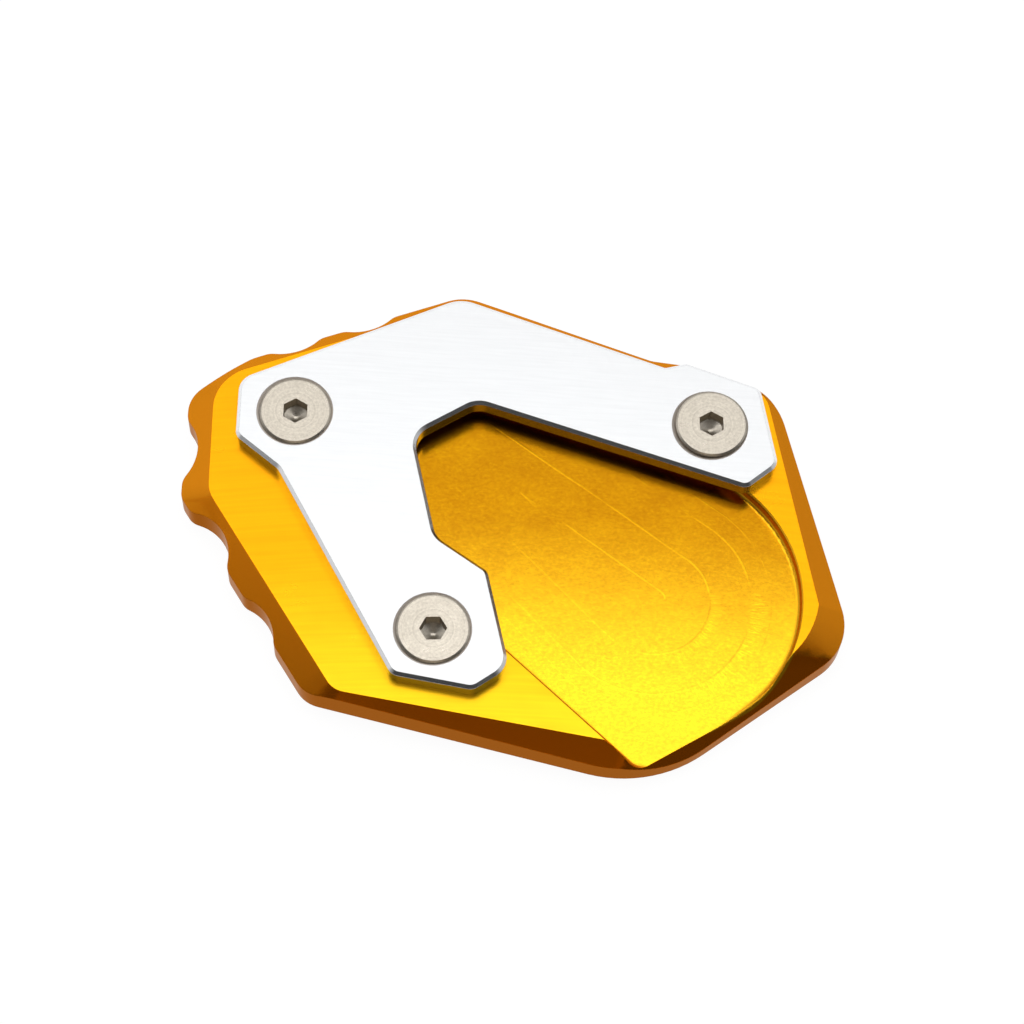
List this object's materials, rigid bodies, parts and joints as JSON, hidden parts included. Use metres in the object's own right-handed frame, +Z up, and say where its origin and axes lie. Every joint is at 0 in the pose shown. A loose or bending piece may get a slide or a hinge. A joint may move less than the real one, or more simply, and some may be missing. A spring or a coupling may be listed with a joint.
{
  "type": "motorcycle side stand foot enlarger",
  "caption": "Flat gold plate with bevelled edges and a shallow recess that widens a side stand's foot, held by a hooked clear plate with countersunk screws.",
  "frame": {"origin": "centre of the bounding box at the underside, which is the face that rests on the ground", "axes": "+X along the long side towards the rounded end of the recess, +Y towards the clamp plate's peak, +Z up from the underside towards the screw heads"},
  "size_m": [0.1128, 0.0844, 0.0093],
  "materials": {
    "gold_anodised": "satin gold anodised, fine milling marks",
    "clear_aluminium": "satin clear anodised",
    "screw_steel": "satin bright steel"
  },
  "bodies": {
    "root": {"base_plate": "gold_anodised", "clamp_plate": "clear_aluminium", "screw_left": "screw_steel", "screw_front": "screw_steel", "screw_right": "screw_steel"}
  },
  "joints": []
}
